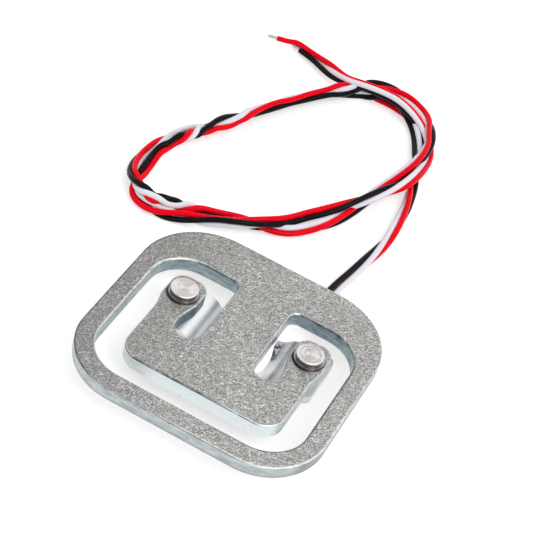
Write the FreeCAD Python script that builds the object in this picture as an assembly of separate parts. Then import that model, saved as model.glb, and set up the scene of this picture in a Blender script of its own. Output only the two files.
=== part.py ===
import FreeCAD, Part
import math
import os

# Half bridge load cell: a stamped spring plate, a load bracket riveted under its tongue,
# two strain gauges bonded below the neck, and a three-wire lead.
# Millimetres. The origin is the middle of the plate in plan, on the surface that the bracket
# rests on. X runs along the rear edge, Y points to the rear, where the lead leaves, Z points up.

# Spring plate: one blank, an outer ring with a tongue inside it.
plate_thickness = 2.0
plate_width = 34.0
plate_depth = 33.5
rear_corner_radius = 9.5
front_corner_radius = 8.5
side_rail = 2.58
front_rail = 2.83
rear_band = 6.8
window_rear_radius = 5.2
window_front_radius = 5.6
front_gap = 3.52
rear_gap = 3.2
neck_width = 7.68
neck_root_radius = 1.2
slot_width = 3.61
arm_width = 3.59
arm_length = 9.95
bar_corner_radius = 3.0
eye_width = 4.86
eye_inset = 0.15
eye_reach = 3.35
eye_corner_radius = 1.85
outer_flare_start = 1.4
outer_flare_end = 3.5
inner_flare_start = 0.8
slot_straight = 1.0
flare_radius = 3.0
die_roll = 0.25
edge_round = 0.4
edge_break = 0.12

# Load bracket: a strip bent into a shallow pan with two ears.
bracket_thickness = 1.2
bracket_drop = 2.8
bracket_width = 8.4
bracket_corner_radius = 1.0
ear_end = 2.52
bend_to_rivet = 1.78
bend_run = 3.66

# Rivets that hold the bracket's ears under the tongue's eyes.
shank_diameter = 2.2
shank_clearance = 0.03
head_diameter = 3.7
head_height = 1.1
head_rim_radius = 0.18
ledge_width = 0.12
ledge_height = 0.25
tail_diameter = 3.3
tail_height = 0.55
tail_rim_radius = 0.35

# Strain gauges: an etched foil grid on a film, bonded to the underside of the neck.
film_width = 4.4
film_length = 3.2
film_thickness = 0.1
grid_width = 2.6
grid_length = 1.8
grid_thickness = 0.05
grid_slots = 5
grid_slot_width = 0.16
grid_bridge = 0.3
tab_width = 0.7
tab_length = 0.6
front_gauge_y = 0.6
gauge_pitch = 4.6

# Terminal strip at the root of the neck, with the solder joints of the three wires.
strip_width = 5.8
strip_length = 1.9
strip_thickness = 0.35
strip_gap = 1.15
joint_diameter = 1.3
joint_tip_diameter = 0.7
joint_height = 0.8
joint_pitch = 1.9
jumper_diameter = 0.22
jumper_margin = 0.4
jumper_pitch = 0.5
jumper_clearance = 0.04

# White silicone over the gauges and the terminal strip.
potting_height = 1.25
potting_round = 0.5
potting_margin = 0.3
potting_side = 0.3
potting_bulge = 0.7
potting_corner_radius = 1.0
potting_to_lead = 2.0

# Lead: three insulated wires twisted together, coiled, with bare tinned ends.
wire_diameter = 0.82
core_diameter = 0.5
core_length = 1.6
strip_wire_gap = 0.04
knee_x_share = 0.32
knee_y_share = 0.35
fan_gap = 0.58
fan_rise = 0.3
fan_clearance = 0.03
coil_diameter = 3.4
lead_seat = 1.55
arc_share = 0.45

# Route points of the cord, each chosen by hand.
lead_route = [
    (5.3, 15.2, 1.6), (5.0, 20.2, 1.25), (6.0, 28.0, 0.95),
    (7.4, 36.0, 0.95), (6.9, 43.0, 1.0), (5.4, 48.0, 1.4),
]
coil_route = [
    (6.4, 52.5), (2.6, 63.0), (-4.2, 67.9), (-11.6, 64.6), (-15.3, 56.0), (-19.7, 46.0), (-24.4, 36.6),
    (-28.6, 29.2), (-26.5, 20.6), (-19.4, 18.9), (-9.4, 24.2), (-1.6, 31.6), (3.2, 42.2),
]
tail_route = [
    (-8.2, 65.6, 1.7), (-12.9, 64.0, 1.3), (-17.0, 65.8, 0.95), (-21.5, 67.6, 0.95),
]
red_end_steps = [(-2.1, 0.0, 0.0), (-4.2, -0.2, -0.5)]

# Levels and places that follow from the sizes above.
plate_bottom = bracket_drop
plate_top = plate_bottom + plate_thickness
ear_bottom = plate_bottom - bracket_thickness
half_width = plate_width / 2
rear_edge = plate_depth / 2
cord_shift = rear_edge - lead_seat - lead_route[0][1]
front_edge = -plate_depth / 2
window_half = half_width - side_rail
window_rear = rear_edge - rear_band
window_front = front_edge + front_rail
bar_front = window_front + front_gap
neck_half = neck_width / 2
arm_inner = neck_half + slot_width
bar_half = arm_inner + arm_width
rivet_x = (arm_inner + bar_half) / 2 - eye_inset
eye_end = window_rear - rear_gap
slot_front = eye_end - arm_length
rivet_y = eye_end - eye_reach
rear_gauge_y = front_gauge_y + gauge_pitch
film_bottom = plate_bottom - film_thickness
grid_bottom = film_bottom - grid_thickness
leg_width = (grid_width - grid_slots * grid_slot_width) / (grid_slots + 1)
tab_x = grid_width / 2 - leg_width + tab_width / 2
strip_y = rear_gauge_y + film_length / 2 + strip_gap + strip_length / 2
strip_bottom = plate_bottom - strip_thickness
wire_level = strip_bottom - strip_wire_gap - wire_diameter / 2
bundle_diameter = wire_diameter * (1 + 2 / math.sqrt(3))
strand_radius = wire_diameter / math.sqrt(3)
fan_half = (wire_diameter + fan_gap) / 2
fan_drop = wire_diameter + fan_clearance - fan_rise
tiny = 1e-6


def vector(x, y, z=0.0):
    return FreeCAD.Vector(x, y, z)


def vectors(route):
    """The cord's points, carried along by the plate's rear edge."""
    return [vector(x, y + cord_shift, z) for x, y, z in route]


def rounded_edges(points, radii, closed):
    """Straight runs joined by tangent arcs. A corner of radius 0, and an open path's ends, stay sharp."""
    count = len(points)
    stops = []
    for i, corner in enumerate(points):
        if radii[i] < tiny:
            stops.append((corner, None, corner))
            continue
        came = (corner - points[i - 1]).normalize()
        goes = (points[(i + 1) % count] - corner).normalize()
        turn = came.getAngle(goes)
        tangent = radii[i] * math.tan(turn / 2)
        inward = (goes - came).normalize()
        middle = corner + inward * (radii[i] / math.cos(turn / 2) - radii[i])
        stops.append((corner - came * tangent, middle, corner + goes * tangent))
    edges = []
    for i, (start, middle, end) in enumerate(stops):
        if middle is not None:
            edges.append(Part.Arc(start, middle, end).toShape())
        following = stops[(i + 1) % count][0]
        if (closed or i < count - 1) and end.distanceToPoint(following) > tiny:
            edges.append(Part.LineSegment(end, following).toShape())
    return edges


def outline_face(points, radii):
    return Part.Face(Part.Wire(rounded_edges(points, radii, True)))


def prism(corners, bottom, height):
    """An outline of (x, y, radius) corners, extruded upwards."""
    points = [vector(x, y, bottom) for x, y, radius in corners]
    radii = [radius for x, y, radius in corners]
    return outline_face(points, radii).extrude(vector(0, 0, height))


def mirrored(half):
    """A half outline on +X, closed by its mirror image."""
    return half + [(-x, y, radius) for x, y, radius in reversed(half)]


def block(x, y, width, length, bottom, top):
    """A block centred on x, y in plan."""
    return Part.makeBox(width, length, top - bottom, vector(x - width / 2, y - length / 2, bottom))


def cord_radii(points, closed=False):
    """The largest arcs that the runs allow: a share of the shorter run at each point."""
    count = len(points)
    radii = [0.0] * count
    for i in range(count):
        if not closed and i in (0, count - 1):
            continue
        came = points[i] - points[i - 1]
        goes = points[(i + 1) % count] - points[i]
        shorter = min(came.Length, goes.Length)
        radii[i] = arc_share * shorter / math.tan(came.getAngle(goes) / 2)
    return radii


def cord_path(points, closed=False):
    return Part.Wire(rounded_edges(points, cord_radii(points, closed), closed))


def tube(points, diameter, closed=False):
    """A round section carried along straight runs and tangent arcs."""
    path = cord_path(points, closed)
    first = path.OrderedEdges[0]
    start = first.valueAt(first.FirstParameter)
    along = first.tangentAt(first.FirstParameter)
    section = Part.Wire(Part.Circle(start, along, diameter / 2).toShape())
    return path.makePipeShell([section], True, False)


def rivet_hole(x):
    radius = shank_diameter / 2 + shank_clearance
    return Part.makeCylinder(radius, plate_top, vector(x, rivet_y, 0))


def spring_plate():
    """The blank's outline with rounded edges, then the window around the tongue and the holes."""
    ring = [
        (half_width, front_edge, front_corner_radius),
        (half_width, rear_edge, rear_corner_radius),
    ]
    plate = prism(mirrored(ring), plate_bottom, plate_thickness)
    lower_edges = [e for e in plate.Edges if e.BoundBox.ZMax < plate_bottom + tiny]
    plate = plate.makeFillet(edge_round, lower_edges)
    upper_edges = [e for e in plate.Edges if e.BoundBox.ZMin > plate_top - tiny]
    plate = plate.makeFillet(edge_break, upper_edges)
    eye_inner = rivet_x - eye_width / 2
    eye_outer = rivet_x + eye_width / 2
    tongue = [
        (neck_half, window_rear, neck_root_radius),
        (neck_half, slot_front, slot_width / 2),
        (arm_inner, slot_front, slot_width / 2),
        (arm_inner, slot_front + slot_width / 2 + slot_straight, flare_radius),
        (eye_inner, rivet_y - inner_flare_start, flare_radius),
        (eye_inner, eye_end, eye_corner_radius),
        (eye_outer, eye_end, eye_corner_radius),
        (eye_outer, rivet_y - outer_flare_start, flare_radius),
        (bar_half, rivet_y - outer_flare_end, flare_radius),
        (bar_half, bar_front, bar_corner_radius),
    ]
    window = [
        (-window_half, window_rear, window_rear_radius),
        (-window_half, window_front, window_front_radius),
        (window_half, window_front, window_front_radius),
        (window_half, window_rear, window_rear_radius),
    ]
    plate = plate.cut(prism(mirrored(tongue) + window, plate_bottom, plate_thickness))
    top_face = max(plate.Faces, key=lambda face: face.CenterOfMass.z)
    outer = top_face.OuterWire
    rolled = [e for w in top_face.Wires if not w.isSame(outer) for e in w.Edges]
    plate = plate.makeFillet(die_roll, rolled)
    return plate.cut(rivet_hole(rivet_x)).cut(rivet_hole(-rivet_x))


def load_bracket():
    """A bent section carried across the strip's width. Each S-bend is two equal arcs."""
    rise = bracket_drop - bracket_thickness
    turn = 2 * math.atan(rise / bend_run)
    bend = bend_run / (2 * math.sin(turn))
    inner = bend - bracket_thickness / 2
    outer = bend + bracket_thickness / 2
    reach = math.tan(turn / 2)
    bend_end = rivet_x - bend_to_rivet
    pan_end = bend_end - bend_run
    tip = rivet_x + ear_end
    section = [
        (pan_end + outer * reach, 0.0, outer),
        (bend_end - inner * reach, ear_bottom, inner),
        (tip, ear_bottom, 0.0),
        (tip, plate_bottom, 0.0),
        (bend_end - outer * reach, plate_bottom, outer),
        (pan_end + inner * reach, bracket_thickness, inner),
    ]
    corners = mirrored(section)
    near_side = rivet_y - bracket_width / 2
    points = [vector(x, near_side, z) for x, z, radius in corners]
    radii = [radius for x, z, radius in corners]
    strip = outline_face(points, radii).extrude(vector(0, bracket_width, 0))
    ends = [e for e in strip.Edges if abs(abs(e.CenterOfMass.x) - tip) < tiny and e.BoundBox.YLength < tiny]
    strip = strip.makeFillet(bracket_corner_radius, ends)
    return strip.cut(rivet_hole(rivet_x)).cut(rivet_hole(-rivet_x))


def rivet(x):
    """A turned section: a flat head with a thin ledge at its foot, the shank, and the peened tail."""
    shank = shank_diameter / 2
    head = head_diameter / 2
    tail = tail_diameter / 2
    head_top = plate_top + head_height
    ledge_top = plate_top + ledge_height
    tail_bottom = ear_bottom - tail_height
    corners = [
        (0.0, tail_bottom, 0.0),
        (tail, tail_bottom, tail_rim_radius),
        (tail, ear_bottom, 0.0),
        (shank, ear_bottom, 0.0),
        (shank, plate_top, 0.0),
        (head + ledge_width, plate_top, 0.0),
        (head + ledge_width, ledge_top, 0.0),
        (head, ledge_top, 0.0),
        (head, head_top, head_rim_radius),
        (0.0, head_top, 0.0),
    ]
    points = [vector(x + radius, rivet_y, z) for radius, z, rounding in corners]
    roundings = [rounding for radius, z, rounding in corners]
    axis_point = vector(x, rivet_y, 0)
    return outline_face(points, roundings).revolve(axis_point, vector(0, 0, 1), 360)


def gauge_film(y):
    return block(0, y, film_width, film_length, film_bottom, plate_bottom)


def gauge_grid(y):
    """A foil patch cut into one meander by slots from alternate ends, with two tabs at its rear."""
    front = y - (grid_length + tab_length) / 2
    middle = front + grid_length / 2
    rear = front + grid_length
    foil = block(0, middle, grid_width, grid_length, grid_bottom, film_bottom)
    for side in (-1, 1):
        tab = block(side * tab_x, rear + tab_length / 2, tab_width, tab_length, grid_bottom, film_bottom)
        foil = foil.fuse(tab)
    for i in range(grid_slots):
        x = -grid_width / 2 + (i + 1) * leg_width + (i + 0.5) * grid_slot_width
        shift = grid_bridge if i % 2 == 0 else -grid_bridge
        slot = block(x, middle + shift, grid_slot_width, grid_length, grid_bottom, film_bottom)
        foil = foil.cut(slot)
    return foil.removeSplitter()


def terminal_strip():
    return block(0, strip_y, strip_width, strip_length, strip_bottom, plate_bottom)


def inner_wire(x, end):
    """An insulated wire from its solder joint to the lead, with its core bared in the joint."""
    start = vector(x, strip_y + joint_diameter / 2, wire_level)
    span = end - start
    knee = vector(span.x * knee_x_share, span.y * knee_y_share, span.z / 2)
    points = [start, start + knee, end - knee + vector(0, 0, span.z / 2), end]
    covered = tube(points, wire_diameter)
    along = (points[1] - points[0]).normalize()
    core = Part.makeCylinder(core_diameter / 2, joint_diameter, start - along * (joint_diameter / 2), along)
    return covered.fuse(core).removeSplitter()


def solder_joint(x):
    cone = Part.makeCone(joint_tip_diameter / 2, joint_diameter / 2, joint_height)
    cone.translate(vector(x, strip_y, strip_bottom - joint_height))
    return cone


def jumper_paths():
    """Fine wires from the tabs to the joints. The front gauge's pair passes left of the rear gauge."""
    upper = grid_bottom - jumper_diameter / 2
    lower = strip_bottom - jumper_diameter / 2 - jumper_clearance
    front_tab = front_gauge_y + grid_length / 2
    rear_tab = rear_gauge_y + grid_length / 2
    between = (front_gauge_y + rear_gauge_y) / 2
    film_rear = rear_gauge_y + film_length / 2
    inner_x = -film_width / 2 - jumper_margin
    outer_x = inner_x - jumper_pitch
    return {
        "jumper_black": [
            vector(-tab_x, front_tab, upper),
            vector(outer_x, between, upper),
            vector(outer_x, film_rear, lower),
            vector(-joint_pitch, strip_y, lower),
        ],
        "jumper_red_front": [
            vector(tab_x, front_tab, upper),
            vector(tab_x, between, upper),
            vector(inner_x, between, upper),
            vector(inner_x, film_rear, lower),
            vector(-joint_diameter / 4, strip_y, lower),
        ],
        "jumper_red_rear": [
            vector(-tab_x, rear_tab, upper),
            vector(-tab_x, film_rear, lower),
            vector(0, strip_y, lower),
        ],
        "jumper_white": [
            vector(tab_x, rear_tab, upper),
            vector(tab_x, film_rear, lower),
            vector(joint_pitch, strip_y, lower),
        ],
    }


def potting_body():
    """A hand-laid pad of silicone that bulges past the neck's right side and follows the wires."""
    left = -neck_half + potting_side
    right = neck_half
    bulge = neck_half + potting_bulge
    front = front_gauge_y - film_length / 2 - potting_margin
    gauge_gap = (front_gauge_y + rear_gauge_y) / 2
    lead_start = vectors(lead_route)[0]
    over_lead = lead_start.x + potting_margin
    rear = lead_start.y - potting_to_lead
    corner = potting_corner_radius
    corners = [
        (left, front, corner),
        (right - potting_side, front, corner),
        (bulge, front_gauge_y, corner),
        (bulge, gauge_gap, corner),
        (right, rear_gauge_y, corner),
        (right, window_rear, corner),
        (over_lead, window_rear + corner, corner),
        (over_lead, rear, corner),
        (0.0, rear, corner),
        (left, strip_y + strip_length / 2, corner),
    ]
    bottom = plate_bottom - potting_height
    pad = prism(corners, bottom, potting_height)
    lower_edges = [e for e in pad.Edges if e.BoundBox.ZMax < bottom + tiny]
    return pad.makeFillet(potting_round, lower_edges)


def across(direction):
    """The two directions square to a cord: one level, one upwards."""
    level = direction.cross(vector(0, 0, 1)).normalize()
    return level, level.cross(direction).normalize()


nodes = {}
nodes["spring_plate"] = spring_plate()
nodes["load_bracket"] = load_bracket()
nodes["rivet_left"] = rivet(-rivet_x)
nodes["rivet_right"] = rivet(rivet_x)
nodes["gauge_film_front"] = gauge_film(front_gauge_y)
nodes["gauge_film_rear"] = gauge_film(rear_gauge_y)
nodes["gauge_grid_front"] = gauge_grid(front_gauge_y)
nodes["gauge_grid_rear"] = gauge_grid(rear_gauge_y)
nodes["terminal_strip"] = terminal_strip()

# The wires fan out at the start of the lead: black and white above, red between and below them.
lead_points = vectors(lead_route)
fan = {
    "black": (-joint_pitch, lead_points[0] + vector(-fan_half, 0, fan_rise)),
    "red": (0.0, lead_points[0] + vector(0, 0, -fan_drop)),
    "white": (joint_pitch, lead_points[0] + vector(fan_half, 0, fan_rise)),
}
lead = tube(lead_points, bundle_diameter)
joints = {colour: solder_joint(x) for colour, (x, end) in fan.items()}
for name, points in jumper_paths().items():
    nodes[name] = tube(points, jumper_diameter).cut(Part.makeCompound(list(joints.values())))
for colour, (x, end) in fan.items():
    wire = inner_wire(x, end).cut(lead)
    nodes["inner_wire_" + colour] = wire
    nodes["solder_joint_" + colour] = joints[colour].cut(wire)

buried = [shape for name, shape in nodes.items() if name.split("_")[0] in
          ("gauge", "terminal", "jumper", "inner", "solder")]
potting = potting_body()
for piece in buried:
    potting = potting.cut(piece)
nodes["potting"] = potting

# The cord: a tube to the coil, the coil's outer shape, and a tube from it to the bare ends.
coil_points = vectors([(x, y, coil_diameter / 2) for x, y in coil_route])
tail_points = vectors(tail_route)
coil = tube(coil_points, coil_diameter, True)
tail = tube(tail_points, bundle_diameter)
nodes["lead_run"] = lead.cut(coil)
nodes["lead_coil"] = coil
nodes["lead_tail"] = tail.cut(coil)

# At the tail's end the red wire goes on alone; the bare tips stand side by side.
tail_end = tail_points[-1]
tail_along = (tail_points[-1] - tail_points[-2]).normalize()
level, upward = across(tail_along)
red_start = tail_end + upward * strand_radius
red_points = [red_start] + [red_start + vector(*step) for step in red_end_steps]
red_end = tube(red_points, wire_diameter)
red_along = (red_points[-1] - red_points[-2]).normalize()
nodes["red_wire_end"] = red_end.cut(tail)
nodes["red_tip"] = Part.makeCylinder(core_diameter / 2, core_length, red_points[-1], red_along)
for colour, side in (("black", -1), ("white", 1)):
    foot = tail_end + level * (side * wire_diameter / 2) - upward * (strand_radius / 2)
    nodes[colour + "_tip"] = Part.makeCylinder(core_diameter / 2, core_length, foot, tail_along)

# Each tube's bends, its length, and its volume against its section times its length.
cord_tubes = [
    ("lead", lead, bundle_diameter, lead_points, False),
    ("coil", coil, coil_diameter, coil_points, True),
    ("tail", tail, bundle_diameter, tail_points, False),
]
for name, solid, diameter, points, closed in cord_tubes:
    length = cord_path(points, closed).Length
    share = solid.Volume / (math.pi * diameter ** 2 / 4 * length)
    print(name, "radii", [round(radius, 1) for radius in cord_radii(points, closed) if radius > 0])
    print(name, "length", round(length, 1), "volume share", round(share, 4))

os.makedirs("parts", exist_ok=True)
for name, shape in nodes.items():
    solids = shape.Solids
    single = solids[0] if len(solids) == 1 else Part.makeCompound(solids)
    single.exportStep("parts/" + name + ".step")
    print(name, len(solids), "solid", round(single.Volume, 3), single.isValid())
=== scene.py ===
import math

import bpy
import numpy as np
from mathutils import Matrix, Vector


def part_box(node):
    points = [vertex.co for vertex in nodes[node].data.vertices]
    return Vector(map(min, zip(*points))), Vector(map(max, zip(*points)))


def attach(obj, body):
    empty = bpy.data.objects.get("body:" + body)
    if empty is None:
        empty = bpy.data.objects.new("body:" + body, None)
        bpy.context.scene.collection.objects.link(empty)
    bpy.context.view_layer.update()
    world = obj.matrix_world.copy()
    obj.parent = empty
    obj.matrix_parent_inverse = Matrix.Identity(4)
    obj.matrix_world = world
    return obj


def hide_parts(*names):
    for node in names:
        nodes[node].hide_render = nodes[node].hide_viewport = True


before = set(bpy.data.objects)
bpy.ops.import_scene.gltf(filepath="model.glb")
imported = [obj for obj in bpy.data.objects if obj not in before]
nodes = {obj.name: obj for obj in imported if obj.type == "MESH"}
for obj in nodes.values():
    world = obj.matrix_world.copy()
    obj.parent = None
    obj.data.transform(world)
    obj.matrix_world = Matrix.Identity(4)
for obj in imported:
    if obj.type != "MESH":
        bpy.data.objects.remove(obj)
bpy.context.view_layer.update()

# Spring plate: one stamping of cold-rolled steel, barrel-plated with zinc. Tumbling leaves its faces
# full of short scratches; the sheared walls stay smoother and bluer, torn in places along their
# upper edge.
MM = 0.001
SIDE_RAIL = 2.58 * MM
FRONT_RAIL = 2.83 * MM
REAR_BAND = 6.8 * MM
FRONT_GAP = 3.52 * MM
PLATE_FRONT_RADIUS = 8.5 * MM
PLATE_REAR_RADIUS = 9.5 * MM
WINDOW_FRONT_RADIUS = 5.6 * MM
WINDOW_REAR_RADIUS = 5.2 * MM
RIVET_X = 9.095 * MM
RIVET_Y = 3.4 * MM
HEAD_RADIUS = 1.85 * MM
# Beyond this half width, only the ring is left. The two spans in X are of walls that face right, in
# the left slot and beside the neck.
TONGUE_HALF = 12.5 * MM
SLOT_WALL = (-10.5 * MM, -5.5 * MM)
NECK_WALL = (4.0 * MM, 5.4 * MM)
plate_low, plate_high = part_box("spring_plate")
window_half = plate_high.x - SIDE_RAIL
window_front = plate_low.y + FRONT_RAIL
window_rear = plate_high.y - REAR_BAND
bar_front = window_front + FRONT_GAP


def rgb(red, green, blue):
    """An opaque colour."""
    return (red, green, blue, 1.0)


def fill(tree, socket, value):
    """A link or a constant into one socket."""
    if isinstance(value, bpy.types.NodeSocket):
        tree.links.new(value, socket)
    else:
        socket.default_value = value


def add(tree, kind, inputs, **settings):
    """One node with its settings, and a value or a link for each input."""
    node = tree.nodes.new(kind)
    for key, value in settings.items():
        setattr(node, key, value)
    for key, value in inputs.items():
        fill(tree, node.inputs[key], value)
    return node


def calc(tree, operation, first, second=0.0, third=0.0):
    """One arithmetic operation on up to three values."""
    return add(tree, "ShaderNodeMath", {0: first, 1: second, 2: third}, operation=operation).outputs[0]


def product(tree, *factors):
    """All the factors multiplied together."""
    result = factors[0]
    for factor in factors[1:]:
        result = calc(tree, "MULTIPLY", result, factor)
    return result


def strongest(tree, *masks):
    """The largest of the masks at each point."""
    result = masks[0]
    for mask in masks[1:]:
        result = calc(tree, "MAXIMUM", result, mask)
    return result


def hypotenuse(tree, across, along):
    """The root of the sum of two squares."""
    squares = calc(tree, "ADD", product(tree, across, across), product(tree, along, along))
    return calc(tree, "SQRT", squares)


def step(tree, value, low, high, to_low=0.0, to_high=1.0):
    """A smooth step of a value from one range to another."""
    spans = {"Value": value, "From Min": low, "From Max": high, "To Min": to_low, "To Max": to_high}
    return add(tree, "ShaderNodeMapRange", spans, interpolation_type="SMOOTHSTEP").outputs["Result"]


def band(tree, value, low, high, soft):
    """1 between two bounds, falling to 0 over a soft edge outside them."""
    rising = step(tree, value, low - soft, low)
    falling = step(tree, value, high, high + soft, 1.0, 0.0)
    return product(tree, rising, falling)


def blend(tree, share, first, second):
    """The first colour with a share of the second over it."""
    return add(tree, "ShaderNodeMix", {0: share, 6: first, 7: second}, data_type="RGBA").outputs[2]


def spread(tree, field, to_low=0.0, to_high=1.0):
    """The middle of a noise field, 0.3 to 0.7, stretched over a range."""
    return step(tree, field, 0.3, 0.7, to_low, to_high)


def two_tone(tree, field, dark, light):
    """A noise field spread between two colours."""
    return blend(tree, spread(tree, field), dark, light)


def object_place(tree):
    """The place on the piece, in metres."""
    return add(tree, "ShaderNodeTexCoord", {}).outputs["Object"]


def scaled(tree, vector, factors):
    """A vector with each part multiplied by its own factor."""
    return add(tree, "ShaderNodeVectorMath", {0: vector, 1: factors}, operation="MULTIPLY").outputs[0]


def parts_of(tree, vector):
    """The X, Y and Z of a vector."""
    return add(tree, "ShaderNodeSeparateXYZ", {0: vector}).outputs


def surface_normal(tree):
    """The X, Y and Z of the way that the surface faces."""
    return parts_of(tree, add(tree, "ShaderNodeNewGeometry", {}).outputs["Normal"])


def noise(tree, place, scale, detail=2.0, roughness=0.5):
    """Smooth noise round 0.5, with about scale features to the metre."""
    values = {"Vector": place, "Scale": scale, "Detail": detail, "Roughness": roughness}
    return add(tree, "ShaderNodeTexNoise", values).outputs["Fac"]


def bump(tree, height, distance, strength=1.0):
    """The normal of a relief in which a height of 1 stands for the given distance."""
    values = {"Height": height, "Distance": distance, "Strength": strength}
    return add(tree, "ShaderNodeBump", values).outputs["Normal"]


def new_material(name):
    """A node material with its Principled shader."""
    material = bpy.data.materials.new(name)
    material.use_nodes = True
    return material, material.node_tree, material.node_tree.nodes["Principled BSDF"].inputs


def new_group(name, inputs, outputs):
    """An empty node group with named sockets: the group, what it is given and what it puts out."""
    group = bpy.data.node_groups.new(name, "ShaderNodeTree")
    for way, sockets in (("INPUT", inputs), ("OUTPUT", outputs)):
        for label, kind in sockets.items():
            group.interface.new_socket(label, in_out=way, socket_type="NodeSocket" + kind)
    given = group.nodes.new("NodeGroupInput").outputs
    result = group.nodes.new("NodeGroupOutput").inputs
    return group, given, result


def streak_group():
    """Short streaks one way: noise on a place turned about Z and drawn out along the streak, another
    layer of the noise for each turn."""
    inputs = {"Place": "Vector", "Turn": "Float", "Scale": "Float", "Draw": "Float", "Cut": "Float"}
    group, given, result = new_group("short_streaks", inputs, {"Mask": "Float"})
    turned = add(group, "ShaderNodeVectorRotate", {"Vector": given["Place"], "Angle": given["Turn"]},
                 rotation_type="Z_AXIS")
    drawn = add(group, "ShaderNodeCombineXYZ", {"X": given["Draw"], "Y": 1.0, "Z": 1.0})
    layer = add(group, "ShaderNodeCombineXYZ", {"Z": given["Turn"]})
    terms = {0: turned.outputs[0], 1: drawn.outputs[0], 2: layer.outputs[0]}
    spot = add(group, "ShaderNodeVectorMath", terms, operation="MULTIPLY_ADD")
    field = noise(group, spot.outputs[0], given["Scale"], 1.0)
    fill(group, result["Mask"], step(group, calc(group, "SUBTRACT", field, given["Cut"]), 0.0, 0.1))
    return group


short_streaks = streak_group()


def streaks(tree, place, turns, scale, draw, cut):
    """Streaks in several directions, in degrees about Z, the strongest at each point. A smaller draw
    makes them longer, and a higher cut leaves fewer."""
    masks = []
    for turn in turns:
        values = {"Place": place, "Turn": math.radians(turn), "Scale": scale, "Draw": draw, "Cut": cut}
        masks.append(add(tree, "ShaderNodeGroup", values, node_tree=short_streaks).outputs["Mask"])
    return strongest(tree, *masks)


def past_outline(tree, x, y, half_width, front, rear, front_radius, rear_radius):
    """Distance outward from a rounded rectangle, below 0 within it: how far the place lies beyond the
    rectangle of the corners' centres, less the corner radius."""
    along = calc(tree, "SUBTRACT", y, (front + rear) / 2)
    behind = calc(tree, "GREATER_THAN", along, 0.0)
    radius = calc(tree, "MULTIPLY_ADD", behind, rear_radius - front_radius, front_radius)
    wide = calc(tree, "SUBTRACT", calc(tree, "ABSOLUTE", x), half_width)
    wide = calc(tree, "MAXIMUM", calc(tree, "ADD", wide, radius), 0.0)
    deep = calc(tree, "SUBTRACT", calc(tree, "ABSOLUTE", along), (rear - front) / 2)
    deep = calc(tree, "MAXIMUM", calc(tree, "ADD", deep, radius), 0.0)
    return calc(tree, "SUBTRACT", hypotenuse(tree, wide, deep), radius)


# Bare zinc, for the nicks and for the painted highlight on the edges.
bare_zinc_and_highlight = rgb(0.95, 0.94, 0.92)


def tumbled_face(tree, place, grain):
    """A two-tone grain dulled in patches, then dark scars, pale scratches that crowd in places, and a
    few bare nicks. Also gives the scars, for the relief."""
    face = two_tone(tree, grain, rgb(0.115, 0.113, 0.109), rgb(0.66, 0.652, 0.635))
    patch = step(tree, noise(tree, place, 330.0, 3.0), 0.35, 0.72, 0.0, 0.3)
    face = blend(tree, patch, face, rgb(0.28, 0.275, 0.265))
    scars = streaks(tree, place, (-50.0, -74.0, 10.0), scale=9500.0, draw=0.3, cut=0.60)
    face = blend(tree, product(tree, scars, 0.75), face, rgb(0.09, 0.087, 0.083))
    crowd = step(tree, noise(tree, place, 1500.0, 2.0), 0.35, 0.65, 0.5, 1.0)
    scratches = streaks(tree, place, (-20.0, -52.0, -66.0, -80.0), scale=9500.0, draw=0.2, cut=0.622)
    face = blend(tree, product(tree, scratches, crowd, 0.95), face, rgb(0.92, 0.91, 0.89))
    nicks = streaks(tree, place, (-30.0, -66.0, -120.0), scale=6200.0, draw=0.22, cut=0.68)
    face = blend(tree, product(tree, nicks, 0.95), face, bare_zinc_and_highlight)
    return face, scars


def rubbed_and_shaded_by_rivets(tree, place, x, y, face):
    """Marks by the distance past the nearer rivet's head: an arc in front of it rubbed pale, and a painted
    shadow close round it, wider at its front left."""
    across = calc(tree, "SUBTRACT", x, product(tree, calc(tree, "SIGN", x), RIVET_X))
    along = calc(tree, "SUBTRACT", y, RIVET_Y)
    past_head = calc(tree, "SUBTRACT", hypotenuse(tree, across, along), HEAD_RADIUS)
    rubbed = product(tree, band(tree, past_head, 0.2 * MM, 0.5 * MM, 0.2 * MM),
                     step(tree, along, -1.0 * MM, -1.9 * MM),
                     step(tree, noise(tree, place, 2200.0), 0.35, 0.6), 0.7)
    face = blend(tree, rubbed, face, rgb(0.88, 0.88, 0.86))
    # Painted shadow of the head on the plate: dark close round it, and wider at its front left.
    front_left = calc(tree, "ADD", product(tree, across, -0.6), product(tree, along, -0.8))
    close = step(tree, past_head, 0.1 * MM, 0.4 * MM, 0.8, 0.0)
    wider = product(tree, step(tree, front_left, 0.4 * MM, 1.6 * MM),
                    step(tree, past_head, 0.25 * MM, 0.65 * MM, 0.95, 0.0))
    return blend(tree, strongest(tree, close, wider), face, rgb(0.02, 0.018, 0.017))


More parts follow.
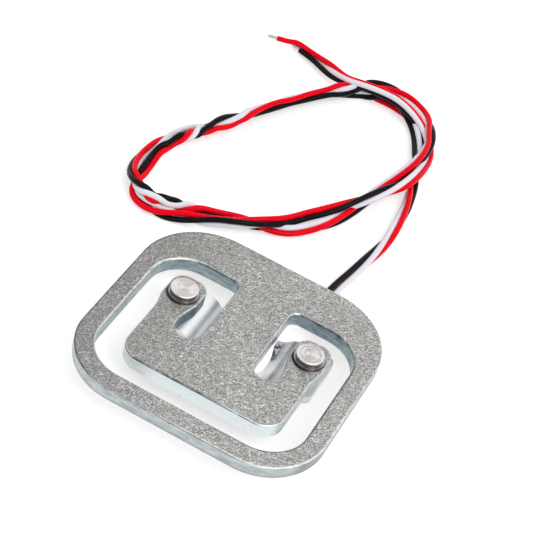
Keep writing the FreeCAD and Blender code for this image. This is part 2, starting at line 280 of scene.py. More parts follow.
def edge_highlight_and_shade(tree, place, x, y):
    """Two masks by the distance from the plate's outline and the window's: a painted highlight on edges at
    the right of the plate and the left of the window, painted shade on the other sides and along the bar."""
    outer = past_outline(tree, x, y, plate_high.x, plate_low.y, plate_high.y,
                         PLATE_FRONT_RADIUS, PLATE_REAR_RADIUS)
    inner = past_outline(tree, x, y, window_half, window_front, window_rear,
                         WINDOW_FRONT_RADIUS, WINDOW_REAR_RADIUS)
    patchy = step(tree, noise(tree, place, 1700.0, 3.0), 0.35, 0.6, 0.3, 1.0)
    by_window = product(tree, step(tree, inner, 0.32 * MM, 0.18 * MM), step(tree, inner, -0.1 * MM, 0.0))
    outer_highlight = product(tree, step(tree, outer, -0.32 * MM, -0.16 * MM),
                          step(tree, x, -4.0 * MM, 5.0 * MM),
                          step(tree, y, 6.0 * MM, -6.0 * MM, 0.3, 1.0))
    inner_highlight = product(tree, by_window, step(tree, x, -8.0 * MM, -10.0 * MM),
                          step(tree, y, -9.0 * MM, -6.0 * MM))
    # Painted highlight on the edges that face right, broken up by noise.
    edge_highlight = product(tree, strongest(tree, outer_highlight, inner_highlight), patchy, 0.9)
    # Painted shade on the edges that face the other way, and along the bar.
    outer_shade = product(tree, step(tree, outer, -0.26 * MM, -0.12 * MM),
                         step(tree, x, -10.0 * MM, -13.0 * MM))
    inner_shade = product(tree, by_window, step(tree, x, 3.0 * MM, 8.0 * MM),
                         step(tree, y, 9.0 * MM, 5.0 * MM))
    bar_shade = product(tree, step(tree, y, bar_front + 0.24 * MM, bar_front + 0.16 * MM),
                       step(tree, inner, -0.2 * MM, -0.5 * MM), step(tree, x, 5.0 * MM, 2.0 * MM))
    edge_shade = product(tree, strongest(tree, outer_shade, inner_shade, bar_shade),
                        step(tree, patchy, 0.3, 1.0, 0.6, 0.9))
    return edge_highlight, edge_shade


def sheared_wall(tree, place, normal, grain, ragged):
    """Mottled blue-grey steel with small pits, toned by painted reflection and painted shade by where the
    wall stands and which way it faces. The window's rear wall is torn along its top and in one line
    that wavers with the noise."""
    x, y, z = parts_of(tree, place)
    to_front = step(tree, normal["Y"], -0.2, -0.75)
    slot_to_right = step(tree, normal["X"], 0.2, 0.6)
    ring_to_right = step(tree, normal["X"], 0.3, 0.7)
    flow = scaled(tree, place, (1.0, 1.0, 3.0))
    mottle = noise(tree, flow, 520.0, 4.0, 0.6)
    # The two darker copies of this mottle below are painted shade.
    wall = two_tone(tree, mottle, rgb(0.36, 0.405, 0.42), rgb(0.56, 0.60, 0.61))
    teal_shade = two_tone(tree, mottle, rgb(0.20, 0.27, 0.295), rgb(0.41, 0.50, 0.53))
    shaded = two_tone(tree, mottle, rgb(0.03, 0.07, 0.095), rgb(0.105, 0.185, 0.225))

    # Painted reflection: the bar's front wall is made light, most of all on its right part.
    tongue_wall = product(tree, to_front,
                          band(tree, y, bar_front - 0.5 * MM, bar_front + 4.4 * MM, 0.4 * MM))
    bright = step(tree, x, -8.0 * MM, -5.0 * MM, 0.35, 0.9)
    wall = blend(tree, product(tree, tongue_wall, bright), wall, rgb(0.86, 0.93, 0.95))
    # Painted shade on the window's rear wall, beside the neck, in the left slot and on the ring's left
    # inner walls.
    rear_wall = product(tree, to_front, step(tree, y, RIVET_Y + 1.1 * MM, RIVET_Y + 3.1 * MM))
    wall = blend(tree, rear_wall, wall, teal_shade)
    neck_side = product(tree, slot_to_right, band(tree, x, *NECK_WALL, 0.3 * MM), 0.7)
    wall = blend(tree, neck_side, wall, teal_shade)
    slot_side = product(tree, slot_to_right, band(tree, x, *SLOT_WALL, 0.4 * MM), 0.9)
    wall = blend(tree, slot_side, wall, shaded)
    # Painted shade on the ring's outer right wall.
    right_side_shade = product(tree, ring_to_right,
                         step(tree, x, plate_high.x - 2.0 * MM, plate_high.x - 1.0 * MM), 0.75)
    wall = blend(tree, right_side_shade, wall, rgb(0.20, 0.235, 0.25))
    # Painted shade at the foot of the ring's front-facing walls, darkest at the bottom.
    round_tongue = strongest(tree, step(tree, y, bar_front - 0.9 * MM, bar_front - 1.2 * MM),
                             step(tree, calc(tree, "ABSOLUTE", x), TONGUE_HALF, TONGUE_HALF + 0.5 * MM))
    foot_shade = product(tree, to_front, round_tongue,
                   step(tree, z, plate_low.z + 0.9 * MM, plate_low.z + 0.05 * MM, 0.1, 0.75))
    wall = blend(tree, foot_shade, wall, rgb(0.17, 0.20, 0.21))
    left_side_shade = product(tree, ring_to_right, step(tree, x, -TONGUE_HALF, -TONGUE_HALF - 1.0 * MM), 0.7)
    wall = blend(tree, left_side_shade, wall, teal_shade)

    pits = step(tree, noise(tree, flow, 1700.0, 2.0), 0.63, 0.72)
    pitted = product(tree, pits, step(tree, tongue_wall, 0.0, 1.0, 0.7, 0.2))
    wall = blend(tree, pitted, wall, rgb(0.12, 0.13, 0.13))
    depth = calc(tree, "SUBTRACT", plate_high.z, z)
    torn_depth = step(tree, ragged, 0.4, 0.75, 0.0, 0.8 * MM)
    torn = product(tree, rear_wall, step(tree, x, 0.0, 7.0 * MM, 0.45, 1.0),
                   step(tree, calc(tree, "SUBTRACT", depth, torn_depth), 0.06 * MM, 0.0), 0.6)
    wall = blend(tree, torn, wall, rgb(0.05, 0.05, 0.05))
    waver = noise(tree, scaled(tree, place, (1.0, 1.0, 0.0)), 420.0, 3.0, 0.6)
    line_depth = spread(tree, waver, 0.3 * MM, 1.6 * MM)
    tear = product(tree, rear_wall, step(tree, x, 6.5 * MM, 8.0 * MM),
                   band(tree, calc(tree, "SUBTRACT", depth, line_depth), 0.0, 0.04 * MM, 0.05 * MM),
                   step(tree, grain, 0.4, 0.55), 0.85)
    return blend(tree, tear, wall, rgb(0.04, 0.042, 0.044))


def plate_finish():
    """Tumbled faces, rims with painted highlights and painted shade, and sheared walls, told apart by
    how far the surface faces up.
    """
    material, tree, shader = new_material("stamped_zinc")
    place = object_place(tree)
    x, y = parts_of(tree, place)[:2]
    normal = surface_normal(tree)
    flat = step(tree, calc(tree, "ABSOLUTE", normal["Z"]), 0.90, 0.995)
    rim = product(tree, step(tree, normal["Z"], 0.08, 0.3), calc(tree, "SUBTRACT", 1.0, flat))
    grain = noise(tree, place, 9000.0, 1.0, 0.6)
    ragged = noise(tree, place, 900.0, 4.0, 0.7)

    face, scars = tumbled_face(tree, place, grain)
    face = rubbed_and_shaded_by_rivets(tree, place, x, y, face)
    # Painted shade: the face grows darker towards the left.
    shade_to_left = step(tree, x, 2.0 * MM, -16.0 * MM, 0.0, 0.3)
    face = blend(tree, shade_to_left, face, rgb(0.10, 0.098, 0.096))
    edge_highlight, edge_shade = edge_highlight_and_shade(tree, place, x, y)
    # Painted highlight, then painted shade, along the plate's and the window's edges.
    face = blend(tree, edge_highlight, face, bare_zinc_and_highlight)
    face = blend(tree, edge_shade, face, rgb(0.03, 0.029, 0.028))
    colour = blend(tree, flat, sheared_wall(tree, place, normal, grain, ragged), face)

    # Painted highlight on the rims that face right, in patches.
    highlight_patches = step(tree, noise(tree, place, 1500.0, 2.0), 0.3, 0.6, 0.25, 0.85)
    to_right = step(tree, normal["X"], 0.0, 0.3)
    colour = blend(tree, product(tree, rim, highlight_patches, to_right), colour, rgb(0.86, 0.86, 0.85))
    # Painted shade on the rims that face away, and on the rims along the shaded edges.
    rim_shade = product(tree, rim, calc(tree, "SUBTRACT", 1.0, to_right), step(tree, normal["Z"], 0.75, 0.5),
                   step(tree, ragged, 0.35, 0.55, 0.35, 1.0))
    rim_shade = strongest(tree, rim_shade, product(tree, rim, edge_shade))
    colour = blend(tree, rim_shade, colour, rgb(0.05, 0.052, 0.055))
    fill(tree, shader["Base Color"], colour)
    shader["Metallic"].default_value = 0.85
    fill(tree, shader["Roughness"], step(tree, flat, 0.0, 1.0, 0.36, 0.52))
    relief = calc(tree, "ADD", product(tree, grain, 0.6), product(tree, scars, -0.5))
    fill(tree, shader["Normal"], bump(tree, relief, 0.02 * MM, 0.6))
    return material


def dress(material, *names):
    """Gives CAD nodes their finish."""
    for name in names:
        nodes[name].data.materials.clear()
        nodes[name].data.materials.append(material)


dress(plate_finish(), "spring_plate")

# Load bracket: a strip of thinner sheet bent into a shallow pan, bright from its zinc bath,
# with soft draw lines along the bends. It carries the tongue and is riveted under both eyes.


def bracket_finish():
    """Bright zinc whose draw lines and clouds run along Y: darker in patches on the right, a painted
    reflection on the left as a white band beside a darker one, and a ragged dark patch beside the potting."""
    material, tree, shader = new_material("bright_zinc")
    place = object_place(tree)
    x, y = parts_of(tree, place)[:2]
    lines = noise(tree, scaled(tree, place, (1.0, 0.08, 1.0)), 2400.0, 3.0)
    cloud = noise(tree, scaled(tree, place, (1.0, 0.5, 1.0)), 420.0, 3.0)
    colour = two_tone(tree, cloud, rgb(0.80, 0.84, 0.85), rgb(0.98, 0.985, 0.985))
    colour = blend(tree, step(tree, lines, 0.5, 0.75, 0.0, 0.3), colour, rgb(0.42, 0.45, 0.46))
    # Darker in patches on the right of the bracket.
    darker_right = product(tree, step(tree, x, 0.0, 3.0 * MM), step(tree, cloud, 0.35, 0.65, 0.7, 0.25))
    colour = blend(tree, darker_right, colour, rgb(0.30, 0.30, 0.325))
    # Painted reflection in the left slot: a darker band, and a white band to its left.
    dark_band_reflection = product(tree, step(tree, x, -6.0 * MM, -5.2 * MM),
                          step(tree, x, -1.0 * MM, -2.0 * MM), 0.2)
    colour = blend(tree, dark_band_reflection, colour, rgb(0.36, 0.375, 0.39))
    bright_band_reflection = step(tree, x, -5.4 * MM, -6.2 * MM, 0.0, 0.8)
    colour = blend(tree, bright_band_reflection, colour, rgb(1.0, 1.0, 1.0))
    # A ragged dark patch beside the potting.
    dark_patch = product(tree, band(tree, x, 3.5 * MM, 4.3 * MM, 1.0 * MM),
                   band(tree, y, 3.8 * MM, 6.8 * MM, 0.6 * MM),
                   step(tree, noise(tree, place, 1500.0, 4.0), 0.42, 0.52), 0.9)
    colour = blend(tree, dark_patch, colour, rgb(0.05, 0.047, 0.05))
    fill(tree, shader["Base Color"], colour)
    shader["Metallic"].default_value = 0.9
    fill(tree, shader["Roughness"], spread(tree, cloud, 0.28, 0.42))
    relief = calc(tree, "ADD", cloud, product(tree, lines, 0.3))
    fill(tree, shader["Normal"], bump(tree, relief, 0.05 * MM, 0.5))
    return material


dress(bracket_finish(), "load_bracket")

# Rivets: turned from steel and nickel-plated, pushed through the eyes and the bracket's ears and peened
# below. The tool left fine rings on the heads, and the setting punch a deeper one on the right head.
RING_PITCH = 0.12 * MM
# The inner and outer radius of the punch's groove and of the short arc within it.
PUNCH_GROOVE = (1.28 * MM, 1.34 * MM)
PUNCH_ARC = (0.70 * MM, 0.77 * MM)


def rivet_finish(name, centre_x, punch_depth):
    """Rings about the rivet's own axis, a punch mark of the given depth, a painted lighter band across the
    head, a painted highlight round its rim, and turned sides darkened by painted shade.
    """
    material, tree, shader = new_material(name)
    place = object_place(tree)
    axis = (centre_x, RIVET_Y, 0.0)
    about = add(tree, "ShaderNodeVectorMath", {0: place, 1: axis}, operation="SUBTRACT").outputs[0]
    x, y = parts_of(tree, about)[:2]
    radius = hypotenuse(tree, x, y)
    angle = calc(tree, "ARCTAN2", y, x)
    upward = surface_normal(tree)["Z"]
    worn = noise(tree, place, 1300.0, 4.0, 0.6)
    # Painted highlight: a lighter band across the head that turns with the angle.
    painted_sheen = calc(tree, "COSINE", calc(tree, "MULTIPLY_ADD", angle, 2.0, -0.6))
    head = blend(tree, step(tree, painted_sheen, -0.8, 1.0), rgb(0.64, 0.605, 0.59), rgb(0.80, 0.775, 0.76))
    head = blend(tree, step(tree, worn, 0.48, 0.70, 0.0, 0.6), head, rgb(0.42, 0.38, 0.365))
    ring = calc(tree, "SINE", product(tree, radius, 2.0 * math.pi / RING_PITCH))
    groove = product(tree, band(tree, radius, *PUNCH_GROOVE, 0.08 * MM), punch_depth)
    arc = product(tree, band(tree, radius, *PUNCH_ARC, 0.05 * MM), punch_depth,
                  step(tree, calc(tree, "ABSOLUTE", angle), 1.5, 1.9),
                  step(tree, worn, 0.3, 0.5, 0.4, 1.0))
    marks = strongest(tree, product(tree, groove, 0.35), product(tree, arc, 0.75))
    head = blend(tree, marks, head, rgb(0.27, 0.23, 0.22))
    turned = noise(tree, scaled(tree, about, (0.5, 0.5, 3.0)), 2300.0, 3.0)
    # The sides are darkened with painted shade, streaked by the turning.
    side = blend(tree, step(tree, turned, 0.35, 0.65), rgb(0.06, 0.053, 0.05), rgb(0.26, 0.238, 0.225))
    colour = blend(tree, step(tree, upward, 0.6, 0.95), side, head)
    # Painted highlight round the rim of the head.
    rim = product(tree, band(tree, upward, 0.25, 0.85, 0.12), step(tree, worn, 0.35, 0.6, 0.5, 1.0))
    colour = blend(tree, rim, colour, rgb(0.90, 0.875, 0.86))
    fill(tree, shader["Base Color"], colour)
    shader["Metallic"].default_value = 0.9
    fill(tree, shader["Roughness"], spread(tree, worn, 0.30, 0.44))
    height = calc(tree, "SUBTRACT", product(tree, ring, 0.05), calc(tree, "ADD", groove, arc))
    fill(tree, shader["Normal"], bump(tree, height, 0.06 * MM, 0.7))
    return material


dress(rivet_finish("turned_nickel_left", -RIVET_X, punch_depth=0.0), "rivet_left")
dress(rivet_finish("turned_nickel_right", RIVET_X, punch_depth=1.0), "rivet_right")

# Strain gauges: etched foil grids on an amber film, bonded under the neck, and the terminal strip
# behind them with its fine enamelled wires and solder joints.


def grain_group():
    """A fine two-tone grain: noise between two colours, and the same noise a little to each side of
    one roughness."""
    inputs = {"Place": "Vector", "Scale": "Float", "Dark": "Color", "Light": "Color", "Roughness": "Float"}
    outputs = {"Colour": "Color", "Roughness": "Float", "Grain": "Float"}
    group, given, result = new_group("fine_grain", inputs, outputs)
    grain = noise(group, given["Place"], given["Scale"], 3.0)
    fill(group, result["Colour"], two_tone(group, grain, given["Dark"], given["Light"]))
    swing = spread(group, grain, -0.06, 0.06)
    fill(group, result["Roughness"], calc(group, "ADD", given["Roughness"], swing))
    fill(group, result["Grain"], grain)
    return group


fine_grain = grain_group()


def grained(name, dark, light, scale, metallic, roughness, height):
    """The fine grain in the colour, the roughness and the relief."""
    material, tree, shader = new_material(name)
    values = {"Place": object_place(tree), "Scale": scale, "Dark": dark, "Light": light,
              "Roughness": roughness}
    grain = add(tree, "ShaderNodeGroup", values, node_tree=fine_grain).outputs
    fill(tree, shader["Base Color"], grain["Colour"])
    shader["Metallic"].default_value = metallic
    fill(tree, shader["Roughness"], grain["Roughness"])
    fill(tree, shader["Normal"], bump(tree, grain["Grain"], height, 0.5))
    return material


film = grained("gauge_film", rgb(0.42, 0.22, 0.05), rgb(0.55, 0.31, 0.09),
               scale=1500.0, metallic=0.0, roughness=0.3, height=0.01 * MM)
dress(film, "gauge_film_front", "gauge_film_rear")
foil = grained("etched_foil", rgb(0.50, 0.44, 0.36), rgb(0.62, 0.56, 0.47),
               scale=3000.0, metallic=1.0, roughness=0.35, height=0.005 * MM)
dress(foil, "gauge_grid_front", "gauge_grid_rear")
board = grained("terminal_board", rgb(0.03, 0.16, 0.07), rgb(0.05, 0.22, 0.10),
                scale=1800.0, metallic=0.0, roughness=0.4, height=0.01 * MM)
dress(board, "terminal_strip")
enamelled = grained("enamelled_copper", rgb(0.40, 0.12, 0.04), rgb(0.55, 0.19, 0.07),
                    scale=4000.0, metallic=1.0, roughness=0.3, height=0.004 * MM)
dress(enamelled, "jumper_black", "jumper_red_front", "jumper_red_rear", "jumper_white")
solder = grained("soft_solder", rgb(0.50, 0.51, 0.52), rgb(0.68, 0.69, 0.70),
                 scale=2500.0, metallic=1.0, roughness=0.28, height=0.02 * MM)
dress(solder, "solder_joint_black", "solder_joint_red", "solder_joint_white")

# Potting: white silicone laid by hand over the gauges, the strip and the joints, skinned over as it
# cured. It lets light through; its faint glow of its own is painted light that stands in for that.
SILICONE_PAINTED_GLOW = 0.42
silicone = grained("white_silicone", rgb(0.92, 0.93, 0.94), rgb(0.97, 0.97, 0.98),
                   scale=600.0, metallic=0.0, roughness=0.4, height=0.15 * MM)
painted_glow = silicone.node_tree.nodes["Principled BSDF"].inputs
painted_glow["Emission Color"].default_value = rgb(1.0, 1.0, 1.0)
painted_glow["Emission Strength"].default_value = SILICONE_PAINTED_GLOW
dress(silicone, "potting")

# Lead: three stranded copper wires in red, black and white PVC, twisted together by hand, soldered
# under the neck and coiled loosely behind the plate. The red one is left longer than the others.
WIRE_DIAMETER = 0.82 * MM
WIRE_SIDES = 14
# From the middle of the bundle to the middle of each wire, where the three touch.
STRAND_RADIUS = WIRE_DIAMETER / math.sqrt(3)
# The shares that this grows by where they lie side by side, and where they fan out at the plate.
FLAT_SPREAD = 0.75
FAN_SPREAD = 0.35
FAN_LENGTH = 5.0 * MM
RED_STRAIGHT = 1.2 * MM
ROUTE_STEPS = 12
CORE_DIAMETER = 0.5 * MM
CORE_LENGTH = 1.6 * MM
CORE_STRANDS = 7
CORE_ROWS = 30
CORE_SIDES = 42
# The shares of the core's length that lie in the covering and of its radius that its grooves cut in,
# and its twist over its length, in radians.
CORE_INSIDE = 0.2
CORE_GROOVE = 0.12
CORE_TWIST = 2.4
# Toward the front and up, the side from which the twist angles below are counted.
FRONT = np.array((0.184, -0.722, 0.667))
# Each row: a point of the route in millimetres, the twist there in degrees, and the lay of the
# three wires, 1 for one order round the bundle, -1 for the other and 0 where they lie side by side.
# The turns lie unevenly, so they are no loop: all these points were chosen on the photograph and
# laid on the table through the camera below.
route_to_coil = [
    (5.3, 15.2, 1.6, 15, 1), (5.4, 20.1, 1.3, 20, 1), (6.5, 26.8, 1, 35, 1), (7.4, 32.9, 0.95, 100, 1),
    (7.5, 38.5, 0.95, 165, 1), (7.1, 43.5, 0.95, 205, 1), (6.2, 47.8, 0.9, 225, 1),
]
first_turn = [
    (5, 52, 0.9, 320, 1), (3.6, 56.3, 0.9, 395, 1), (2, 60.3, 0.9, 425, 1), (-0.2, 63.5, 0.9, 420, 1),
    (-2.2, 64.9, 0.9, 340, 1), (-4.3, 65.4, 0.9, 300, 1), (-6.6, 65.3, 0.95, 310, 1),
    (-8.1, 64.8, 0.9, 410, 1), (-9.3, 64.4, 0.9, 440, 0.9), (-10.3, 63.7, 0.98, 450, 0.5),
    (-11.2, 63.1, 1, 450, 0), (-12, 62.3, 0.98, 450, -0.5), (-12.9, 61.5, 0.9, 450, -0.9),
    (-13.8, 60.1, 0.9, 442, -1), (-15.5, 57.4, 0.9, 430, -1), (-17.1, 54.7, 0.9, 390, -1),
    (-18.5, 51.8, 0.9, 425, -1), (-19.6, 49.6, 0.9, 395, -1), (-20.4, 47.7, 0.9, 370, -1),
    (-21, 46.2, 0.9, 310, -1), (-21.4, 45.1, 0.9, 275, -0.9), (-21.9, 43.9, 0.98, 270, -0.5),
    (-22.4, 42.9, 1, 270, 0), (-22.9, 41.9, 0.98, 270, 0.5), (-23.3, 41, 0.9, 270, 0.9),
    (-23.6, 40.2, 0.9, 285, 1), (-24.4, 39.1, 0.9, 320, 1), (-25.1, 38.1, 0.9, 350, 1),
    (-25.8, 37.1, 0.9, 365, 1), (-26.7, 35.3, 0.9, 390, 1), (-27.3, 33.3, 0.9, 430, 1),
    (-27.8, 31, 0.9, 500, 1), (-28.3, 27.4, 1, 550, 1), (-27.6, 23.8, 1.5, 590, 1),
    (-26.1, 21.4, 2.2, 645, 1), (-24.7, 20.3, 2.4, 715, 1), (-23.5, 19.9, 2.4, 775, 1),
    (-22.6, 19.6, 2.4, 825, 1), (-21.8, 19.7, 2.3, 835, 1), (-21, 20.2, 2.1, 795, 1),
    (-20.2, 20.7, 1.8, 765, 1), (-19.5, 21.5, 1.4, 775, 1), (-18.4, 22.3, 0.95, 850, 1),
    (-17.1, 22.9, 0.9, 940, 1), (-15.7, 23.3, 0.9, 1000, 1), (-13.8, 23.9, 0.9, 1020, 1),
    (-11.6, 24.9, 0.9, 1015, 1), (-9.6, 25.7, 0.9, 970, 1), (-7.7, 26.3, 0.9, 890, 1),
    (-5.8, 27, 0.9, 865, 1), (-4, 28.2, 0.9, 865, 1), (-2, 30.8, 0.9, 885, 1), (-0.3, 34, 0.9, 930, 1),
    (0.8, 37.6, 0.9, 945, 1), (1.5, 41.4, 0.9, 940, 1), (2.4, 45.2, 1.1, 935, 1),
]
second_turn = [
    (3.8, 49, 2, 930, 1), (4.7, 53.2, 2.5, 928, 1), (4.6, 57.4, 2.4, 945, 1), (3.8, 60.4, 2.2, 970, 1),
    (2.4, 63.4, 1.9, 910, 1), (0.9, 65.3, 1.6, 860, 1), (-2.3, 67.5, 1.3, 865, 1), (-5, 67.9, 1.4, 920, 1),
    (-7.4, 67, 1.7, 960, 1), (-9.2, 65.4, 1.9, 985, 1), (-9.9, 64.1, 2.05, 1100, 1),
    (-10.5, 63.1, 2.05, 1160, 0.9), (-11.1, 62, 2.08, 1170, 0.5), (-11.8, 61, 2.08, 1170, 0),
    (-12.4, 60.1, 2.08, 1170, -0.5), (-12.9, 59.3, 2.08, 1168, -0.9), (-13.7, 58, 2.08, 1162, -1),
    (-15.1, 55.8, 2.08, 1150, -1), (-16.7, 53.1, 2.08, 1105, -1), (-18.1, 50.3, 2.08, 1145, -1),
    (-19.2, 48.1, 2.08, 1115, -1), (-20, 46.2, 2.08, 1090, -1), (-20.5, 44.7, 2.08, 1030, -1),
    (-21, 43.6, 2.08, 995, -0.9), (-21.4, 42.5, 2.08, 990, -0.5), (-21.9, 41.5, 2.08, 990, 0),
    (-22.4, 40.5, 2.08, 990, 0.5), (-22.8, 39.6, 2.08, 990, 0.9), (-23.1, 38.7, 2.08, 1010, 1),
    (-23.6, 37.7, 2.08, 1040, 1), (-23.9, 37, 2.1, 1085, 1), (-24.2, 36.2, 2.15, 1150, 1),
    (-24.5, 35.4, 2.2, 1215, 1), (-24.8, 34.5, 2.25, 1275, 1), (-25.2, 33.5, 2.3, 1340, 1),
    (-25.7, 32.6, 2.2, 1390, 1), (-26.1, 31.5, 1.9, 1405, 1), (-26.4, 30.2, 1.7, 1350, 1),
    (-26.5, 28.7, 1.4, 1330, 1), (-26.5, 26.3, 1, 1375, 1), (-26.2, 24.1, 0.9, 1350, 1),
    (-25.9, 22.1, 0.9, 1285, 1), (-25.3, 20.6, 0.9, 1220, 1), (-24.1, 19.6, 0.9, 1220, 0.9),
    (-22.1, 19.1, 0.9, 1245, 0.8), (-20.1, 19.3, 0.9, 1290, 0.8), (-18.1, 20, 1, 1330, 0.9),
    (-16.2, 20.6, 1.3, 1370, 1), (-14.4, 21.2, 1.6, 1420, 1), (-12.7, 21.9, 2, 1430, 1),
    (-10.6, 22.8, 2.3, 1425, 1), (-8.6, 24.3, 2.4, 1390, 1), (-6.5, 26.8, 2.1, 1346, 1),
    (-5.1, 29.6, 1.4, 1343, 1), (-3.8, 32.5, 1, 1350, 1), (-2.1, 35, 1, 1362, 1), (-0.3, 37, 1.6, 1395, 1),
    (1.4, 39, 2.4, 1440, 1), (2.8, 41.9, 2.4, 1475, 1), (4.1, 44.4, 2.5, 1520, 1),
    (5.3, 47.1, 2.65, 1575, 1), (5.7, 51.4, 1.9, 1585, 1), (5.3, 56.7, 0.9, 1565, 1),
    (4, 59.9, 0.95, 1540, 1), (1.8, 62.1, 1.6, 1530, 1), (-0.8, 63.3, 2.4, 1528, 1),
    (-3.7, 64.1, 2.8, 1528, 1), (-6.5, 64, 2.85, 1528, 1), (-9, 63.5, 2.9, 1530, 1),
]
route_to_end = [
    (-11.5, 63.1, 2.7, 1530, 1), (-13, 63.6, 2.3, 1530, 0.8), (-14.5, 64.4, 1.9, 1530, 0.3),
    (-16.1, 65.4, 1.5, 1530, -0.3), (-17.8, 66.4, 1.15, 1530, -0.8), (-19.6, 67.2, 0.95, 1530, -1),
    (-21.5, 67.7, 0.95, 1530, -1),
]
red_run_on = [(-23.6, 67.6, 1.2), (-25.7, 67.4, 0.92)]
route = np.array(route_to_coil + first_turn + second_turn + route_to_end)


def nurbs_line(points):
    """Points along the smooth spline that has these control points."""
    curve = bpy.data.curves.new("route", "CURVE")
    curve.dimensions = "3D"
    curve.resolution_u = ROUTE_STEPS
    spline = curve.splines.new("NURBS")
    spline.points.add(len(points) - 1)
    spline.points.foreach_set("co", np.c_[points, np.ones(len(points))].ravel())
    spline.order_u = 3
    spline.use_endpoint_u = True
    holder = bpy.data.objects.new("route", curve)
    mesh = bpy.data.meshes.new_from_object(holder)
    line = np.empty(len(mesh.vertices) * 3)
    mesh.vertices.foreach_get("co", line)
    bpy.data.objects.remove(holder)
    bpy.data.curves.remove(curve)
    bpy.data.meshes.remove(mesh)
    return line.reshape(-1, 3)


def unit(vectors):
    """Vectors divided by their lengths."""
    return vectors / np.linalg.norm(vectors, axis=-1, keepdims=True)


def lengths_along(line):
    """The length of a line up to each of its points."""
    return np.r_[0.0, np.cumsum(np.linalg.norm(np.diff(line, axis=0), axis=1))]


def end_heading(line):
    """The way that a line points at its end, over its last three steps."""
    return unit(line[-1] - line[-4])


def tube_mesh(name, line, radius, sides):
    """Rings round a line: centre + radius (cos a side + sin a upper), each end closed by a fan. The
    radius may change from ring to ring and round the ring. The UV map runs round and along a wire,
    in metres."""
    rows = len(line)
    heading = unit(np.gradient(line, axis=0))
    side = unit(np.cross(heading, (0.0, 0.0, 1.0)))
    upper = np.cross(side, heading)
    angle = np.linspace(0.0, 2.0 * np.pi, sides, endpoint=False)
    ring = np.cos(angle)[:, None] * side[:, None] + np.sin(angle)[:, None] * upper[:, None]
    points = line[:, None] + np.broadcast_to(radius, (rows, sides))[..., None] * ring
    here = np.arange(rows * sides).reshape(rows, sides)
    beside = np.roll(here, -1, axis=1)
    quads = np.stack([here[:-1], here[1:], beside[1:], beside[:-1]], axis=-1).reshape(-1, 4)
    first = np.full(sides, rows * sides)
    start = np.stack([first, here[0], beside[0]], axis=-1)
    end = np.stack([first + 1, beside[-1], here[-1]], axis=-1)
    mesh = bpy.data.meshes.new(name)
    vertices = np.r_[points.reshape(-1, 3), line[:1], line[-1:]]
    mesh.from_pydata(vertices.tolist(), [], quads.tolist() + start.tolist() + end.tolist())
    run = lengths_along(line)
    u = np.r_[np.tile(angle * WIRE_DIAMETER / 2, rows), 0.0, 0.0]
    v = np.r_[np.repeat(run, sides), run[0], run[-1]]
    corner = np.empty(len(mesh.loops), dtype=np.int32)
    mesh.loops.foreach_get("vertex_index", corner)
    mesh.uv_layers.new(name="run").data.foreach_set("uv", np.c_[u, v][corner].ravel())
    mesh.shade_smooth()
    return mesh


def place_piece(name, mesh, material, slot, *stands_for):
    """A finished piece at the origin, riding on the one body."""
    piece = bpy.data.objects.new(name, mesh)
    bpy.context.scene.collection.objects.link(piece)
    mesh.materials.append(material)
    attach(piece, "root")
    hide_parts(*stands_for)
    return piece


def pvc(name, colour, shade, gloss):
    """Extruded PVC: fine drawn lines, from noise much finer round the wire than along it, and a tone
    that changes slowly over it."""
    material, tree, shader = new_material(name)
    run = add(tree, "ShaderNodeUVMap", {}, uv_map="run").outputs["UV"]
    lines = noise(tree, scaled(tree, run, (6000.0, 260.0, 1.0)), 1.0, 2.0)
    slow = noise(tree, object_place(tree), 180.0, 2.0)
    fill(tree, shader["Base Color"], two_tone(tree, slow, shade, colour))
    fill(tree, shader["Roughness"], spread(tree, lines, 0.15, 0.27))
    shader["Specular IOR Level"].default_value = gloss
    fill(tree, shader["Normal"], bump(tree, lines, 0.006 * MM, 0.4))
    return material


def twisted_core(name, start, heading):
    """Fine strands twisted tight: a tube that starts inside the covering, whose radius waves once
    round for each strand, turning as it goes, and draws in at the cut end."""
    run = np.linspace(-CORE_INSIDE, 1.0, CORE_ROWS)
    line = start + np.outer(run * CORE_LENGTH, heading)
    angle = np.linspace(0.0, 2.0 * np.pi, CORE_SIDES, endpoint=False)
    turned = angle[None] - CORE_TWIST * run[:, None]
    wave = 1.0 - CORE_GROOVE + CORE_GROOVE * np.abs(np.cos(CORE_STRANDS / 2 * turned))
    taper = np.sqrt(np.clip(1.0 - np.clip((run - 0.8) / 0.25, 0.0, 1.0) ** 2, 0.0, 1.0))
    return tube_mesh(name, line, CORE_DIAMETER / 2 * wave * taper[:, None], CORE_SIDES)


tinned = grained("tinned_copper", rgb(0.42, 0.40, 0.39), rgb(0.60, 0.58, 0.57),
                 scale=5000.0, metallic=1.0, roughness=0.35, height=0.01 * MM)
coverings = {
    "white": pvc("white_pvc", rgb(0.88, 0.88, 0.94), rgb(0.82, 0.81, 0.90), gloss=0.2),
    "black": pvc("black_pvc", rgb(0.007, 0.006, 0.007), rgb(0.005, 0.004, 0.005), gloss=0.09),
    "red": pvc("red_pvc", rgb(0.98, 0.0008, 0.014), rgb(0.88, 0.0006, 0.011), gloss=0.06),
}
middle = nurbs_line(route[:, :3] * MM)
turns = nurbs_line(np.c_[route[:, 3:], np.zeros(len(route))])
twist = np.radians(turns[:, 0])
lay = turns[:, 1]
heading = unit(np.gradient(middle, axis=0))
toward = unit(FRONT - (heading @ FRONT)[:, None] * heading)
beside = np.cross(heading, toward)
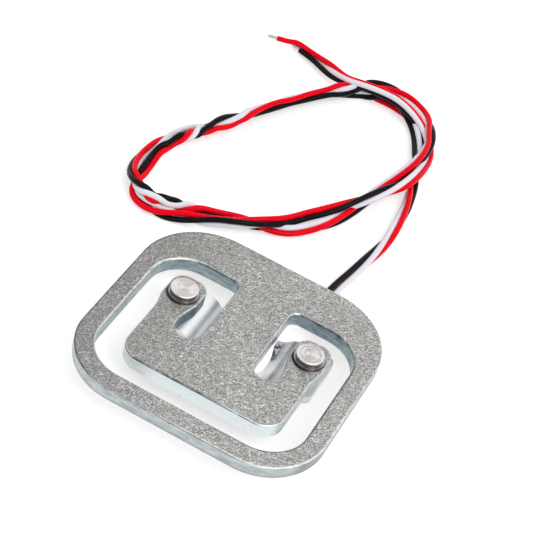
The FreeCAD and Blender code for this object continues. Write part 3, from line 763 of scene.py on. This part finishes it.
# The wires fan out where they leave the plate, and spread where they lie side by side.
reach = STRAND_RADIUS * (1.0 + FAN_SPREAD * np.exp(-lengths_along(middle) / FAN_LENGTH))
reach = reach * (1.0 + FLAT_SPREAD * (1.0 - lay ** 2))
for place_in_order, (colour, covering) in enumerate(coverings.items()):
    around = twist + 2.0 * np.pi * place_in_order / len(coverings)
    aside = (reach * np.cos(around))[:, None] * beside
    forward = (reach * lay * np.sin(around))[:, None] * toward
    strand = middle + aside + forward
    covered_nodes = ["lead_run", "lead_coil", "lead_tail"]
    if colour == "red":
        bend = strand[-1] + RED_STRAIGHT * end_heading(strand)
        run_on = nurbs_line(np.r_[[strand[-1], bend], np.array(red_run_on) * MM])
        strand = np.r_[strand[:-1], run_on]
        covered_nodes.append("red_wire_end")
    name = "wire_" + colour
    wire_mesh = tube_mesh(name, strand, WIRE_DIAMETER / 2, WIRE_SIDES)
    wire = place_piece(name, wire_mesh, covering, name, *covered_nodes)
    tip_mesh = twisted_core("core_" + colour, strand[-1], end_heading(strand))
    tip = place_piece("core_" + colour, tip_mesh, tinned, "tinned_copper", colour + "_tip")
    dress(covering, "inner_wire_" + colour)

# Table and light: a plain white table in a soft white room, and one large lamp at the front on the
# right. What is seen of the table and the room is brighter than what they give the part as light.
TABLE_HALF = 1.5
TABLE_GREY = 0.8
TABLE_GLOW = 0.52
ROOM_LEVEL = 0.72
LAMP_POWER = 0.95
LAMP_SIZE = 0.3
LAMP_PLACE = Vector((0.3, -0.14, 0.42))
LAMP_AIM = Vector((0.0, 0.02, 0.0))


def seen_directly(tree):
    """1 for camera, mirror and glass rays, 0 for the rays that light the object."""
    path = add(tree, "ShaderNodeLightPath", {}).outputs
    return strongest(tree, path["Is Camera Ray"], path["Is Glossy Ray"], path["Is Transmission Ray"])


scene = bpy.context.scene
corners = [(TABLE_HALF * x, TABLE_HALF * y, 0.0) for x, y in ((-1, -1), (1, -1), (1, 1), (-1, 1))]
floor_mesh = bpy.data.meshes.new("table_top")
floor_mesh.from_pydata(corners, [], [(0, 1, 2, 3)])
floor = bpy.data.objects.new("table_top", floor_mesh)
scene.collection.objects.link(floor)
white_table = bpy.data.materials.new("white_table")
white_table.use_nodes = True
table_tree = white_table.node_tree
table_tree.nodes.clear()
matt = add(table_tree, "ShaderNodeBsdfDiffuse", {"Color": rgb(TABLE_GREY, TABLE_GREY, TABLE_GREY)})
strength = product(table_tree, seen_directly(table_tree), TABLE_GLOW)
glow = add(table_tree, "ShaderNodeEmission", {"Strength": strength})
both = add(table_tree, "ShaderNodeAddShader", {0: matt.outputs[0], 1: glow.outputs[0]})
add(table_tree, "ShaderNodeOutputMaterial", {"Surface": both.outputs[0]})
floor_mesh.materials.append(white_table)

room = bpy.data.worlds.new("white_room")
room.use_nodes = True
room_tree = room.node_tree
backdrop = room_tree.nodes["Background"].inputs
fill(room_tree, backdrop["Strength"], step(room_tree, seen_directly(room_tree), 0.0, 1.0, ROOM_LEVEL, 1.0))
backdrop["Color"].default_value = rgb(1.0, 1.0, 1.0)
scene.world = room
scene.view_settings.view_transform = "Standard"

lamp_data = bpy.data.lights.new("soft_box", "AREA")
lamp_data.energy = LAMP_POWER
lamp_data.size = LAMP_SIZE
lamp = bpy.data.objects.new("soft_box", lamp_data)
scene.collection.objects.link(lamp)
lamp.location = LAMP_PLACE
lamp.rotation_euler = (LAMP_AIM - LAMP_PLACE).to_track_quat("-Z", "Y").to_euler()

# Camera: a long lens that looks down on the plate from in front, a little from the right, and is
# turned about its own line of sight. Its values are fitted to the plate's edges in the photograph.
AIM = Vector((-2.755, 15.052, 4.8)) * MM
AIM_DISTANCE = 226.419 * MM
AZIMUTH = math.radians(14.313)
ELEVATION = math.radians(41.821)
ROLL = math.radians(17.751)
SENSOR_WIDTH = 36.0
FOCAL_LENGTH = 116.40
NEAREST_SEEN = 5.0 * MM
camera_data = bpy.data.cameras.new("camera")
camera_data.sensor_width = SENSOR_WIDTH
camera_data.lens = FOCAL_LENGTH
camera_data.clip_start = NEAREST_SEEN
camera = bpy.data.objects.new("camera", camera_data)
scene.collection.objects.link(camera)
level = math.cos(ELEVATION)
outward = Vector((level * math.sin(AZIMUTH), -level * math.cos(AZIMUTH), math.sin(ELEVATION)))
camera.location = AIM + AIM_DISTANCE * outward
tilted = Matrix.Rotation(AZIMUTH, 3, "Z") @ Matrix.Rotation(math.pi / 2 - ELEVATION, 3, "X")
camera.rotation_euler = (tilted @ Matrix.Rotation(ROLL, 3, "Z")).to_euler()
scene.camera = camera
